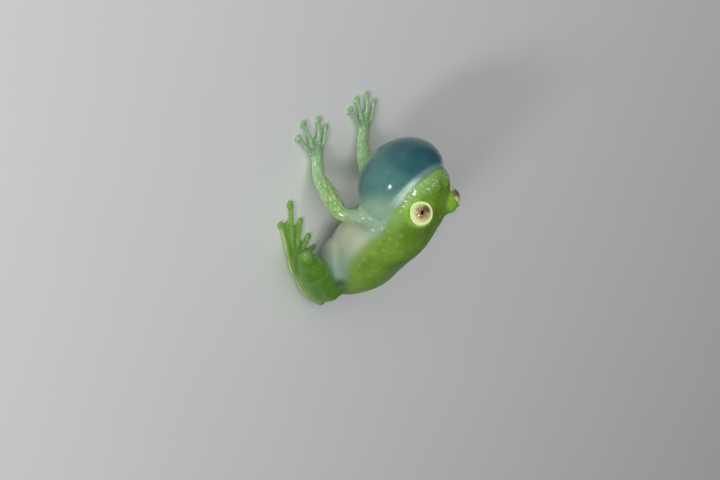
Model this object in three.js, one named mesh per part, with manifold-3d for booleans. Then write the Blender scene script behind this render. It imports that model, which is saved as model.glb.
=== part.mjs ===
// A small tree frog with glass-like skin, life size, calling with its vocal sac full.
// Millimetres: +X towards the snout, +Y to the frog's left, +Z up, and the ground at z = 0.
import * as THREE from 'three';
import { mergeVertices } from 'three/addons/utils/BufferGeometryUtils.js';
import Module from 'manifold-3d';

const wasm = await Module();
wasm.setup();

const at = (x, y, z) => new THREE.Vector3(x, y, z);
const between = (a, b, share) => a.clone().lerp(b, share);

// Driving dimensions

const GAP = 0.3;
const BODY_LENGTH = 24;
const HEAD_LENGTH = 8.5;

// Where the head starts on the neck, and how far it tips up from level
const NECK = at(12.6, 0, 12.1);
const HEAD_PITCH = THREE.MathUtils.degToRad(22.9);

// The middle line of the trunk from the rump to the neck, and of the head along its mouth
const TRUNK_LINE = [at(0.4, 0, 2.1), at(3.2, 0, 3.4), at(6.2, 0, 5.5), at(9.2, 0, 8.3), at(11.3, 0, 10.5)];
const HEAD_LINE = [at(0.6, 0, -0.7), at(3, 0, -1.05), at(6, 0, -1.0), at(HEAD_LENGTH, 0, -0.85)];

// Sizes along that line, each as [distance from the rump, size]
const HALF_WIDTH = [[0, 1.9], [2.5, 3.1], [6, 4.2], [9, 4.65], [12.5, 4.5], [15.5, 4.15],
  [17.5, 4.3], [20, 3.95], [22, 3.2], [23.3, 2.35], [24, 1.8]];
const RISE = [[0, 1.5], [2.5, 3.0], [6, 4.1], [9, 3.9], [12.5, 3.5], [15.5, 3.05],
  [17.5, 3.3], [20, 3.1], [22, 2.3], [23.3, 1.65], [24, 1.2]];
const DROP = [[0, 1.3], [2.5, 2.8], [6, 4.5], [9, 5.0], [12.5, 4.5], [15.5, 3.0],
  [17.5, 1.7], [20, 1.1], [22, 0.9], [24, 0.6]];
const SECTION_POWER = 2.2;
const RUMP_ROUND = 1.7;
const SNOUT_ROUND = 1.0;

// The head's own parts, as forwards, sideways and up from where the head starts
const HEAD_CUT = 1.0;
const EYE = {
  place: at(4.45, 2.8, 1.15), aim: at(0.62, 0.72, 0.28),
  radius: 1.3, gap: 0.22, lid: 0.28, rim: 0.72,
};
const NOSTRIL = { place: at(7.45, 0.8, 0.72), aim: at(0.5, 0.7, 0.5), mound: 0.42, hole: 0.2 };
const LIP = { from: 17.2, thick: 0.22, inset: 0.08, stops: [0, 0.35, 0.65, 0.85, 0.96] };
const SAC = { place: at(3.88, 0, -3.98), size: at(5.56, 5.69, 4.56), belowMouth: 0.55 };

// Half the thickness of an arm's two lengths, as [share of the length, size]
const ARM = {
  upper: [[0, 1.1], [0.4, 0.95], [0.8, 0.84], [1, 0.88]],
  fore: [[0, 0.88], [0.35, 1.08], [0.7, 1.0], [1, 0.8]],
};

// Each arm joint by joint, with the middles of its finger pads; the right one as if it were a left one
const LEFT_ARM = {
  shoulder: at(13.4, 2.6, 10.4), elbow: at(13.9, 5.7, 5.7),
  wrist: at(17.0, 5.05, 1.65), knuckles: at(19.5, 4.4, 0.7),
  fingers: [at(22.2, 2.5, 0), at(23.6, 4.0, 0), at(24.0, 6.7, 0), at(22.4, 7.5, 0)],
};
const RIGHT_ARM = {
  shoulder: at(13.3, 2.8, 9.8), elbow: at(13.4, 2.9, 3.6),
  wrist: at(18.2, 3.6, 1.3), knuckles: at(20.0, 4.6, 0.7),
  fingers: [at(22.9, 2.1, 0), at(23.9, 3.3, 0), at(23.9, 5.2, 0), at(22.5, 6.8, 0)],
};

// The left leg joint by joint, with half its thickness as [share of the length, size]
const LEG = {
  hip: at(1.6, 3.3, 3.0), knee: at(9.3, 10.2, 4.4),
  heel: at(-0.55, 2.9, 1.35), ankle: at(4.75, 7.0, 0.75),
  bow: { thigh: at(0, -0.2, 0), shank: at(-0.1, 0.3, 0), tarsus: at(-0.3, 0.55, -0.1) },
  thigh: [[0, 1.35], [0.35, 1.45], [0.75, 1.35], [1, 1.05]],
  shank: [[0, 1.05], [0.3, 1.25], [0.7, 0.98], [1, 0.75]],
  tarsus: [[0, 0.75], [0.5, 0.64], [1, 0.6]],
};

// Hands and feet lie on the ground
const HAND = {
  wide: [[0, 0.74], [0.4, 0.78], [0.8, 1.1], [1, 1.0]],
  thick: [[0, 0.74], [0.4, 0.7], [0.8, 0.5], [1, 0.36]],
  digit: 0.29, pad: 0.56, padHeight: 0.3, arch: 0.62, spread: 0.5,
};
const FOOT = {
  wide: [[0, 0.6], [0.4, 0.85], [0.8, 1.3], [1, 1.25]],
  thick: [[0, 0.6], [0.4, 0.55], [0.8, 0.42], [1, 0.34]],
  digit: 0.3, pad: 0.5, padHeight: 0.28, arch: 0.48, spread: 0.42,
};
const LEFT_TOES = [at(6.6, 3.6, 0), at(8.5, 4.6, 0), at(11.2, 6.3, 0), at(14.25, 8.4, 0), at(12.1, 10.0, 0)];
const RIGHT_FOOT_BACK = 0.7;
const WEB = { thick: 0.5, lift: 0.02, reach: [0.4, 0.62, 0.98, 0.98], hollow: 0.1 };

const COLOURS = {
  back: 0x86ad4c, jaw: 0x9fc08a, sac: 0x6f9a98, eye: 0xd9d39a,
  arm: 0xa3bf86, leg: 0x92b468, foot: 0xa6bd84,
};

// Ways to shape a solid

// A smooth curve through a row of [place, size] pairs, read at one place
function sizeAt(row, place) {
  const last = row.length - 1;
  const after = row.findIndex(([mark]) => mark > place);
  const i = after < 0 ? last - 1 : Math.max(after - 1, 0);
  const slope = (k) => {
    const [before, behind] = [row[Math.min(k + 1, last)], row[Math.max(k - 1, 0)]];
    return (before[1] - behind[1]) / (before[0] - behind[0]);
  };
  const step = row[i + 1][0] - row[i][0];
  const t = THREE.MathUtils.clamp((place - row[i][0]) / step, 0, 1);
  return (2 * t ** 3 - 3 * t ** 2 + 1) * row[i][1] + (t ** 3 - 2 * t ** 2 + t) * step * slope(i)
    + (3 * t ** 2 - 2 * t ** 3) * row[i + 1][1] + (t ** 3 - t ** 2) * step * slope(i + 1);
}

// Rounds a form off within `reach` of its end
function roundOff(distance, reach) {
  const left = Math.max(1 - distance / reach, 0);
  return Math.sqrt(Math.max(1 - left ** 2, 0));
}

// A ball's surface moved so that its poles lie at the two ends of a form
function shaped(sides, rings, place) {
  const ball = new THREE.SphereGeometry(1, sides, rings);
  const spots = ball.attributes.position;
  for (let i = 0; i < spots.count; i += 1) {
    const share = THREE.MathUtils.clamp((1 - spots.getY(i)) / 2, 0, 1);
    const spot = place(share, Math.atan2(spots.getZ(i), spots.getX(i)));
    spots.setXYZ(i, spot.x, spot.y, spot.z);
  }
  return ball;
}

// A closed triangle surface as a solid for joining and cutting
function solid(geometry) {
  const bare = geometry.clone();
  bare.deleteAttribute('normal');
  bare.deleteAttribute('uv');
  const merged = mergeVertices(bare, 1e-4);
  const corners = merged.index.array;
  const triangles = [];
  for (let i = 0; i < corners.length; i += 3) {
    const [a, b, c] = [corners[i], corners[i + 1], corners[i + 2]];
    if (a !== b && b !== c && c !== a) triangles.push(a, b, c);
  }
  return new wasm.Manifold(new wasm.Mesh({
    numProp: 3,
    vertProperties: new Float32Array(merged.attributes.position.array),
    triVerts: new Uint32Array(triangles),
  }));
}

// A long form along a line of points, with half its width and thickness as rows over its length.
// Its round ends are centred on the first and last point.
function limb(points, wide, thick = wide, sides = 12, rings = 12) {
  const line = new THREE.CatmullRomCurve3(points);
  const length = line.getLength();
  const start = sizeAt(wide, 0);
  const end = sizeAt(wide, 1);
  return solid(shaped(sides, rings, (share, angle) => {
    const along = share * (length + start + end) - start;
    const inside = THREE.MathUtils.clamp(along / length, 0, 1);
    const ahead = line.getTangentAt(inside);
    const side = at(0, 0, 1).cross(ahead).normalize();
    const up = ahead.clone().cross(side);
    const round = roundOff(along + start, start) * roundOff(length + end - along, end);
    return line.getPointAt(inside)
      .addScaledVector(ahead, along - inside * length)
      .addScaledVector(side, Math.cos(angle) * sizeAt(wide, inside) * round)
      .addScaledVector(up, Math.sin(angle) * sizeAt(thick, inside) * round);
  }));
}

function ball(centre, radius, sides) {
  const geometry = new THREE.SphereGeometry(radius, sides, sides / 2);
  return solid(geometry.translate(centre.x, centre.y, centre.z));
}

// Everything on one side of a plane, from half a gap beyond it
const FAR = 80;
function beyond(point, facing, gap = GAP) {
  const block = new THREE.BoxGeometry(FAR, FAR, FAR).translate(0, 0, FAR / 2 + gap / 2);
  block.applyQuaternion(new THREE.Quaternion().setFromUnitVectors(at(0, 0, 1), facing.clone().normalize()));
  return solid(block.translate(point.x, point.y, point.z));
}

// The two sides of the plane that halves the angle at a joint
function jointCut(joint, before, after) {
  const onwards = after.clone().sub(joint).normalize().sub(before.clone().sub(joint).normalize());
  return { near: beyond(joint, onwards.clone().negate()), far: beyond(joint, onwards) };
}

// The largest closed surface of a solid, ready to show
function surface(form) {
  const mesh = form.decompose().sort((a, b) => b.volume() - a.volume())[0].getMesh();
  const geometry = new THREE.BufferGeometry();
  geometry.setAttribute('position', new THREE.BufferAttribute(new Float32Array(mesh.vertProperties), 3));
  geometry.setIndex(new THREE.BufferAttribute(new Uint32Array(mesh.triVerts), 1));
  return geometry;
}

// The same surface on the other side of the middle plane
function mirrored(geometry) {
  const copy = geometry.clone().scale(1, -1, 1);
  const corners = copy.index.array;
  for (let i = 0; i < corners.length; i += 3) [corners[i], corners[i + 1]] = [corners[i + 1], corners[i]];
  return copy;
}

// Trunk and head

const turnToHead = new THREE.Quaternion().setFromAxisAngle(at(0, 1, 0), -HEAD_PITCH);
const headAim = (aim) => aim.clone().applyQuaternion(turnToHead).normalize();
const onHead = (place, side = 1) => at(place.x, place.y * side, place.z)
  .applyQuaternion(turnToHead)
  .add(NECK);

const spine = new THREE.CatmullRomCurve3([...TRUNK_LINE, ...HEAD_LINE.map((place) => onHead(place))]);

// A point on the skin, `grown` outwards by a clearance
function skinPoint(share, angle, grown = 0) {
  const along = share * BODY_LENGTH;
  const ahead = spine.getTangentAt(share);
  const up = at(-ahead.z, 0, ahead.x);
  const round = roundOff(along, RUMP_ROUND) * roundOff(BODY_LENGTH - along, SNOUT_ROUND);
  const across = Math.sign(Math.cos(angle)) * Math.abs(Math.cos(angle)) ** (2 / SECTION_POWER);
  const height = Math.sign(Math.sin(angle)) * Math.abs(Math.sin(angle)) ** (2 / SECTION_POWER);
  const tall = sizeAt(height > 0 ? RISE : DROP, along);
  const outwards = share * 2 - 1;
  const open = grown * Math.sqrt(1 - outwards ** 8);
  return spine.getPointAt(share)
    .add(at(0, across * (sizeAt(HALF_WIDTH, along) * round + open), 0))
    .addScaledVector(up, height * (tall * round + open))
    .addScaledVector(ahead, grown * outwards ** 9);
}

// The trunk and head in one, with the lip as a bead along the line of the mouth
function wholeBody(grown = 0) {
  const trunk = solid(shaped(32, 40, (share, angle) => skinPoint(share, angle, grown)));
  const onLip = (stop) => {
    const along = LIP.from + stop * (BODY_LENGTH - LIP.from);
    return skinPoint(along / BODY_LENGTH, 0, grown / 2 - LIP.inset);
  };
  const left = LIP.stops.map(onLip);
  const right = left.map((spot) => at(spot.x, -spot.y, spot.z)).reverse();
  const path = new THREE.CatmullRomCurve3([...left, onLip(1), ...right]);
  const bead = new THREE.Shape().absarc(0, 0, LIP.thick + grown / 2, 0, Math.PI * 2);
  const run = { steps: 26, curveSegments: 3, extrudePath: path, bevelEnabled: false };
  return trunk.add(solid(new THREE.ExtrudeGeometry(bead, run)));
}

// What lies above or below the line of the mouth, `off` away from it
function mouthSide(above, off = GAP / 2) {
  const sign = above ? 1 : -1;
  const edge = HEAD_LINE.map((place) => new THREE.Vector2(place.x, place.z + sign * off));
  const outline = new THREE.Shape();
  outline.moveTo(-FAR, edge[0].y);
  outline.lineTo(edge[0].x, edge[0].y);
  outline.splineThru(edge.slice(1));
  outline.lineTo(FAR, edge.at(-1).y);
  outline.lineTo(FAR, sign * FAR);
  outline.lineTo(-FAR, sign * FAR);
  const block = new THREE.ExtrudeGeometry(outline, { depth: FAR, curveSegments: 5, bevelEnabled: false });
  block.translate(0, 0, -FAR / 2).rotateX(Math.PI / 2).applyQuaternion(turnToHead);
  return solid(block.translate(NECK.x, NECK.y, NECK.z));
}

// The head with lids round open sockets and nostrils on small mounds
function buildHead(whole) {
  let head = whole.intersect(beyond(onHead(at(HEAD_CUT, 0, 0)), headAim(at(1, 0, 0))));
  const socket = EYE.radius + EYE.gap;
  for (const side of [1, -1]) {
    const eye = onHead(EYE.place, side);
    const aim = headAim(at(EYE.aim.x, EYE.aim.y * side, EYE.aim.z));
    const rim = eye.clone().addScaledVector(aim, EYE.rim);
    const lids = ball(eye, socket + EYE.lid, 22).subtract(beyond(rim, aim, 0));
    const width = Math.sqrt(socket ** 2 - EYE.rim ** 2);
    const opening = new THREE.CylinderGeometry(width, width, 3, 22).translate(0, 1.5, 0);
    opening.applyQuaternion(new THREE.Quaternion().setFromUnitVectors(at(0, 1, 0), aim));
    const mound = onHead(NOSTRIL.place, side);
    const outwards = headAim(at(NOSTRIL.aim.x, NOSTRIL.aim.y * side, NOSTRIL.aim.z));
    const hole = mound.clone().addScaledVector(outwards, NOSTRIL.mound);
    head = head.add(lids).add(ball(mound, NOSTRIL.mound, 10)).subtract(ball(hole, NOSTRIL.hole, 8));
    head = head.subtract(ball(eye, socket, 22)).subtract(solid(opening.translate(rim.x, rim.y, rim.z)));
  }
  return head;
}

// Hands and feet

// One digit from inside the palm or sole to its round pad
function digit(start, tip, kind) {
  const end = at(tip.x, tip.y, kind.digit * 0.8);
  const middle = between(start, end, 0.55).setZ(kind.arch);
  const row = [[0, kind.digit * 1.15], [0.5, kind.digit], [1, kind.digit * 0.9]];
  const pad = new THREE.SphereGeometry(1, 9, 5).scale(kind.pad, kind.pad, kind.padHeight);
  pad.translate(tip.x, tip.y, kind.padHeight * 0.7);
  return limb([start, middle, end], row, row, 6, 6).add(solid(pad));
}

// The web between two digits from one root: a flat sheet with a hollow edge
function web(root, one, other, share) {
  const reach = share * Math.min(root.distanceTo(one), root.distanceTo(other));
  const from = root.clone().add(one.clone().sub(root).setLength(reach));
  const to = root.clone().add(other.clone().sub(root).setLength(reach));
  const dip = between(between(from, to, 0.5), root, WEB.hollow);
  const outline = new THREE.Shape();
  outline.moveTo(root.x, root.y);
  outline.lineTo(from.x, from.y);
  outline.quadraticCurveTo(dip.x, dip.y, to.x, to.y);
  const flat = { depth: WEB.thick, bevelEnabled: false, curveSegments: 4 };
  return solid(new THREE.ExtrudeGeometry(outline, flat).translate(0, 0, WEB.lift));
}

// A palm or sole from above its joint, with its digits fanned out from the far end
function buildExtremity(before, joint, knuckles, tips, kind, webbed) {
  const end = between(knuckles, tips[Math.floor(tips.length / 2)], 0.25).setZ(kind.arch * 0.8);
  let form = limb([between(before, joint, 0.7), joint, knuckles, end], kind.wide, kind.thick, 12, 10);
  const forwards = end.clone().sub(joint).setZ(0).normalize();
  const sideways = at(-forwards.y, forwards.x, 0);
  const roots = tips.map((tip, i) => knuckles.clone()
    .addScaledVector(sideways, (i - (tips.length - 1) / 2) * kind.spread)
    .setZ(kind.arch * 0.9));
  tips.forEach((tip, i) => {
    form = form.add(digit(roots[i], tip, kind));
    if (webbed && i > 0) {
      const root = between(roots[i], roots[i - 1], 0.5).setZ(0);
      form = form.add(web(root, tips[i - 1], tip, WEB.reach[i - 1]));
    }
  });
  return form;
}

// The finished solids

const ground = beyond(at(0, 0, 0), at(0, 0, 1), 0);
const whole = wholeBody();
const clearance = wholeBody(GAP);

function segment(from, to, row, bow = at(0, 0, 0)) {
  return limb([from, between(from, to, 0.5).add(bow), to], row);
}

function buildArm(arm) {
  const elbow = jointCut(arm.elbow, arm.shoulder, arm.wrist);
  const wrist = jointCut(arm.wrist, arm.elbow, arm.knuckles);
  const hand = buildExtremity(arm.elbow, arm.wrist, arm.knuckles, arm.fingers, HAND, false);
  return {
    upper_arm: segment(arm.shoulder, arm.elbow, ARM.upper).intersect(elbow.near).subtract(clearance),
    forearm: segment(arm.elbow, arm.wrist, ARM.fore).intersect(elbow.far).intersect(wrist.near),
    hand: hand.intersect(wrist.far).intersect(ground),
  };
}

function buildLeg(toes) {
  const knee = jointCut(LEG.knee, LEG.hip, LEG.heel);
  const heel = jointCut(LEG.heel, LEG.knee, LEG.ankle);
  const ankle = jointCut(LEG.ankle, LEG.heel, toes[3]);
  const sole = between(LEG.ankle, between(toes[2], toes[4], 0.5), 0.3).setZ(FOOT.arch);
  const foot = buildExtremity(LEG.heel, LEG.ankle, sole, toes, FOOT, true);
  const thigh = segment(LEG.hip, LEG.knee, LEG.thigh, LEG.bow.thigh);
  const shank = segment(LEG.knee, LEG.heel, LEG.shank, LEG.bow.shank);
  const tarsus = segment(LEG.heel, LEG.ankle, LEG.tarsus, LEG.bow.tarsus);
  return {
    thigh: thigh.intersect(knee.near).subtract(clearance),
    shank: shank.intersect(knee.far).intersect(heel.near).subtract(clearance),
    tarsus: tarsus.intersect(heel.far).intersect(ankle.near).intersect(ground),
    foot: foot.intersect(ankle.far).intersect(ground),
  };
}

// The sac hangs below the jaw, clear of the throat and of both upper arms
function buildSac() {
  const sac = new THREE.SphereGeometry(1, 32, 18).scale(SAC.size.x, SAC.size.y, SAC.size.z);
  const centre = onHead(SAC.place);
  sac.applyQuaternion(turnToHead).translate(centre.x, centre.y, centre.z);
  const wider = ARM.upper.map(([place, size]) => [place, size + GAP]);
  const [leftRoom, rightRoom] = [LEFT_ARM, RIGHT_ARM].map((arm) => segment(arm.shoulder, arm.elbow, wider));
  return solid(sac)
    .intersect(mouthSide(false, SAC.belowMouth))
    .subtract(clearance)
    .subtract(leftRoom)
    .subtract(solid(mirrored(surface(rightRoom))));
}

const head = buildHead(whole);
const torso = whole.intersect(beyond(onHead(at(HEAD_CUT, 0, 0)), headAim(at(-1, 0, 0))));

// The finished group

const model = new THREE.Group();
function show(name, geometry, colour, roughness) {
  geometry.computeVertexNormals();
  const material = new THREE.MeshStandardMaterial({ color: colour, roughness, metalness: 0 });
  const mesh = new THREE.Mesh(geometry, material);
  mesh.name = name;
  model.add(mesh);
}

show('torso', surface(torso), COLOURS.back, 0.4);
show('head', surface(head.intersect(mouthSide(true))), COLOURS.back, 0.4);
show('lower_jaw', surface(head.intersect(mouthSide(false))), COLOURS.jaw, 0.4);
show('vocal_sac', surface(buildSac()), COLOURS.sac, 0.15);
show('eye_left', surface(ball(onHead(EYE.place), EYE.radius, 20)), COLOURS.eye, 0.1);
show('eye_right', surface(ball(onHead(EYE.place, -1), EYE.radius, 20)), COLOURS.eye, 0.1);

const rightToes = LEFT_TOES.map((tip) => at(tip.x - RIGHT_FOOT_BACK, tip.y, tip.z));
const sides = [['left', LEFT_ARM, LEFT_TOES], ['right', RIGHT_ARM, rightToes]];
const shades = {
  upper_arm: 'arm', forearm: 'arm', hand: 'foot', thigh: 'leg', shank: 'leg', tarsus: 'leg', foot: 'foot',
};
for (const [side, arm, toes] of sides) {
  for (const [name, form] of Object.entries({ ...buildArm(arm), ...buildLeg(toes) })) {
    const geometry = side === 'left' ? surface(form) : mirrored(surface(form));
    show(`${name}_${side}`, geometry, COLOURS[shades[name]], 0.4);
  }
}

// The origin lies on the ground under the middle of the whole frog
const box = new THREE.Box3().setFromObject(model);
model.position.set(-(box.min.x + box.max.x) / 2, -(box.min.y + box.max.y) / 2, -box.min.z);

export default model;
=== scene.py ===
from math import cos, radians, sin

import bmesh
import bpy
import numpy as np
from mathutils import Matrix, Vector
from mathutils.bvhtree import BVHTree


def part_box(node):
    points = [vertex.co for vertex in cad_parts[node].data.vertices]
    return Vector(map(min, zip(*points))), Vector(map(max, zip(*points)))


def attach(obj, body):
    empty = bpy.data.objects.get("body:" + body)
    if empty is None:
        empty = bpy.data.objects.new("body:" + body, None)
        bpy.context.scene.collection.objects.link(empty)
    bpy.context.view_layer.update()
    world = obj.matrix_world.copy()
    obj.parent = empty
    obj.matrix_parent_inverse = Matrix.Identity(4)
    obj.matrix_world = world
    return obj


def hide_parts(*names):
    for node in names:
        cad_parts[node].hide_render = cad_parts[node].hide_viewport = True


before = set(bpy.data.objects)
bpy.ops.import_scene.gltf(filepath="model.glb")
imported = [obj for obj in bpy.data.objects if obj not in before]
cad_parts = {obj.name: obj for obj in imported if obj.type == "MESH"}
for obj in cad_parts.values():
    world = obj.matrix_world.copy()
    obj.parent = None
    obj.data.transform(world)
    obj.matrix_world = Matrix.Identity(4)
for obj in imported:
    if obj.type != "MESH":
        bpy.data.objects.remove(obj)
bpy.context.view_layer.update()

# A small tree frog with glass-like skin, life size, calling with its vocal sac full.
# Sizes here are millimetres, +X towards the snout, +Y to the frog's left, +Z up, ground at z = 0.
# Apart from places, two numbers in brackets say where something begins to change and where it has changed.
# Four say where it begins, where it is full, where it begins to fade and where it is gone.

MM = 0.001
# Points nearer to each other than this are made one, and nothing is divided by less
LEAST = 0.001

# Where the head starts on the neck, and how far it tips up
NECK = np.array([12.6, 0, 12.1])
HEAD_PITCH = radians(22.9)
HEAD_TURN = np.array([
    [cos(HEAD_PITCH), 0, -sin(HEAD_PITCH)],
    [0, 1, 0],
    [sin(HEAD_PITCH), 0, cos(HEAD_PITCH)],
])

# The head's own parts, as forwards, sideways and up from where the head starts. The cornea stands proud by
# "rise" of the eye's radius, between these heights along the gaze. The lid's angles are degrees off the gaze.
# Its "outer" is counted from the middle of the eye, "behind" and "reach" from the eyeball.
EYE = {"place": (4.45, 2.8, 1.15), "radius": 1.3, "socket_fill": 0.3}
GAZE = (0.757, 0.585, 0.333)
CORNEA = {"rise": 0.035, "fades": (0.55, 0.95)}
LID = {"open": 58, "edge": 4, "outer": 1.48, "behind": 0.4, "reach": (0.5, 1.1), "snug": (80, 115),
       "loose": 0.15, "loosens": (75, 105), "rim": 0.06, "rim_off": 7, "rim_wide": 6}
# The nostril: a small hole, with painted shade round it as wide as its shadow
NOSTRIL = {"place": (7.45, 0.8, 0.72), "hole": 0.15, "depth": 0.25, "within": 1,
           "rim": 0.01, "rim_off": 0.3, "rim_wide": 0.14, "shadow": 0.27}
MOUTH = [[0.6, -0.7], [3, -1.05], [6, -1.0], [8.5, -0.85]]
GROOVE = {"corner": 2.6, "starts": 0.8, "within": 0.8, "deep": 0.14, "wide": 0.09,
          "lip": 0.04, "lip_off": 0.28, "lip_wide": 0.16}

# The limbs joint by joint, from shoulder to knuckles and from hip to toes. The right ones are mirrored.
ARM_KINDS = ("upper_arm", "forearm", "hand")
ARMS = {
    "left": [(13.4, 2.6, 10.4), (13.9, 5.7, 5.7), (17.0, 5.05, 1.65), (19.5, 4.4, 0.7)],
    "right": [(13.3, 2.8, 9.8), (13.4, 2.9, 3.6), (18.2, 3.6, 1.3), (20.0, 4.6, 0.7)],
}
LEG_KINDS = ("thigh", "shank", "tarsus", "foot")
LEG = [(1.6, 3.3, 3.0), (9.3, 10.2, 4.4), (-0.55, 2.9, 1.35), (4.75, 7.0, 0.75), (7.5, 7.4, 0.4)]

# Thin pale lines along the limbs' edges as the camera sees them, partly folds of skin and partly painted rim
# light: both edges of each forearm, and the outside of each hind foot. How far from a line it is looked for,
# and how wide it is to either side
ARM_FOLDS_AND_RIMS = {
    "left": [
        [(19.0, 5.4, 0.8), (17.3, 5.7, 1.3), (16.1, 6.1, 2.4), (14.6, 6.5, 4.3), (13.7, 6.5, 5.5),
         (13.3, 5.4, 7.3)],
        [(18.6, 4.2, 1.5), (17.1, 4.9, 2.9), (16.0, 5.0, 4.6), (14.7, 5.2, 5.6)],
    ],
    "right": [
        [(20.2, 3.5, 0.7), (19.1, 3.2, 0.9), (18.0, 2.8, 1.1), (15.8, 2.3, 2.0)],
        [(19.9, 4.9, 1.2), (19.0, 4.2, 1.6), (18.3, 3.8, 2.1), (17.5, 3.7, 2.6)],
    ],
}
FOOT_FOLD_AND_RIM = [(11.6, 10.1, 0.35), (9.7, 9.4, 0.5), (8.2, 9.0, 0.5), (6.3, 8.5, 0.6), (5.3, 8.1, 0.7),
             (2.8, 6.8, 0.9), (0.8, 5.4, 1.2)]
FOLD_AND_RIM = {"near": (0.25, 0.45), "half_wide": (0.14, 0.05)}

# How far the flesh is swollen so that its pieces meet, less at the fingers and toes, which stand close.
# The skin is shrunk back by "shrink" of that. "voxel" is how fine its mesh is.
SKIN = {"swell": 0.26, "digit_swell": 0.08, "shrink": 0.92, "voxel": 0.2}
DIGITS = {"top": 1.6, "fingers": (20.0, 21.0), "toes": (7.6, 8.6), "toes_end": 14, "toes_off_middle": 5.5}

# Where the skin has a finer mesh: round the eyes, along the lips and on the nose
FINE = {"eye": 1.9, "lip": 0.4, "lip_from": 2.2, "nose_from": 6.6, "nose_half_wide": 1.5}

# Soft fillings under the skin on the left: between heel and thigh, and where the belly rests on the thigh.
# How often the facets of these balls, and of those that fill the eye sockets, are split
FILLINGS = {
    "heel": {"place": (0.9, 4.15, 2.9), "size": (0.8, 0.8, 0.8)},
    "belly": {"place": (6.5, 2.85, 3.35), "size": (2.6, 2.2, 2.15)},
}
BALL_SPLITS = 4

# How the skin is smoothed: how strongly where its mesh is fine, and how often, before and after it is shrunk
# back; then below the lower lip; then where it is drawn smoothly over a hollow, from the arm to the flank and
# from the belly to the thigh
SMOOTHING = 0.5
SMOOTH_STEPS = 10
BEFORE_SHRINKING = {"fine": 0.55, "rounds": 8}
AFTER_SHRINKING = {"fine": 0.3, "rounds": 14}
BELOW_LIP = {"band": (0.25, 0.5, 1.1, 1.6), "ahead": (2, 3), "rounds": 30}
SMOOTHED = [
    {"place": (12.5, 3.9, 8.5), "near": 1.0, "far": 2.4, "rounds": 40},
    {"place": (14.8, 4.6, 9.7), "near": 0.9, "far": 1.8, "rounds": 24},
    {"place": (6.4, 3.9, 4.5), "near": 1.4, "far": 3.2, "rounds": 40},
]

# Where the green back gives way to the pale flank, as [along, up]
FLANK_LINE = [[0.5, 3.8], [2.4, 4.8], [4.6, 5.8], [6.0, 6.1], [7.2, 6.4], [8.1, 6.8], [9.0, 7.4], [10.0, 8.1],
              [10.8, 8.7], [12.4, 9.5], [13.1, 9.9], [13.8, 10.3], [15.2, 10.9]]

# Where each marking lies. "below" is below the flank line, "jaw" is above the mouth line, "ahead" is forwards
# on the head, and "sideways" is off its middle.
BELLY_AREA = {"below": (-1.1, 0.8), "jaw": (-0.4, -0.9), "round_filling": (1.0, 1.12)}
FLANK_AREA = {"below": (-2.4, -1.1), "middle": 9.0, "half_long": 3.0}
CHIN_AREA = {"top": -0.5, "rise": 0.42, "ahead": (5.6, 7.4)}
# Where the sac darkens in front: partly its own blue, partly painted shade where the dark behind it shows
# through
SAC_BLUE_AND_SHADE_AREA = {"ahead": (7.2, 8.5)}
SAC_MILKY_AREA = {"slant": 0.88, "drop": 3, "across": (1.9, 6.3)}
# Where the sac is painted darkest in shade, as if its far wall showed dark through it
SAC_SHADE_SPOT = {"place": (17.3, 4.8, 7.0), "wide": 1.7}
LIP_AREA = {"band": (0.02, 0.3, 0.5, 0.9), "ahead": (3.2, 5.4), "snout": (7.0, 8.2), "snout_less": 0.75}
# The cheek's glints: real beads, with white painted on them as highlights
GLINT_AREA = {"jaw": 0.15, "rise": 0.9, "rises": (6.6, 7.8), "wide": 0.65, "starts": (3.3, 4.6),
              "ends": (7.8, 8.4), "sideways": (0.3, 1.1)}
CHEEK_AREA = {"ahead": (-0.5, 2.5), "jaw": (0.3, 1.9)}
SHOULDER = {"place": (13.9, 4.8, 8.7), "near": 1.5, "far": 3.2}
# Where a highlight is painted on top of the knee
KNEE_HIGHLIGHT_SPOT = {"place": (10.3, 10.5, 4.5), "near": 0.4, "far": 1.2}

# The skin of the belly runs onto the thigh as far as this place, seen along this direction
THIGH_EDGE = {"place": (6.07, 6.11, 4.95), "way": (0.407, -0.698, 0.590), "fade": 0.3}

# The cream ring on the lid: how far off the eye's axis it ends, how much longer it is one way, and how far
# beyond the lid it reaches; and the brow round it, in degrees off the gaze
RING = {"off": (1.35, 1.27), "long_way": (0.69, -0.33, -0.64), "longer": 0.18, "beyond": (0.12, 0.04)}
BROW_AREA = {"turn": (64, 76, 98, 124), "beyond": (0.1, 0.7)}

# A mask holds 0 to 1. A distance to either side is kept round this middle, a long one over this reach.
MASK_MIDDLE, MASK_REACH = 0.5, 4

# How often the masks are blurred over the skin, and how much the streaks are drawn out
BLUR = {"limb": 8, "sac": 6, "grain": 8}
DRAWN_OUT = {"limb": 0.72, "cheek": 0.55}


# Places and distances

def on_head(place, side=1):
    """A place on the head, from the head's own directions to the model's."""
    return HEAD_TURN @ np.array([place[0], place[1] * side, place[2]]) + NECK


def head_aim(aim, side=1):
    """A direction on the head, one long, from the head's own directions to the model's."""
    way = HEAD_TURN @ np.array([aim[0], aim[1] * side, aim[2]])
    return way / np.linalg.norm(way)


def from_head(places):
    """Places in the head's own directions."""
    return (places - NECK) @ HEAD_TURN


# How far the frame has moved the model from the directions above
eye_low, eye_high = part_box("eye_left")
SHIFT = np.array((eye_low + eye_high) / 2) / MM - on_head(EYE["place"])


def to_scene(place):
    return Vector((np.array(place) + SHIFT) * MM)


def as_left(places):
    """Places with those on the right moved to the left, as in a mirror."""
    left = places.copy()
    left[:, 1] = np.abs(left[:, 1])
    return left


def ease(value, low, high):
    """0 up to low, 1 beyond high, smooth between; or the other way round if low is the higher."""
    t = np.clip((value - low) / (high - low), 0, 1)
    return t * t * (3 - 2 * t)


def band(value, starts, full, fades, ends):
    return ease(value, starts, full) * (1 - ease(value, fades, ends))


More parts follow.
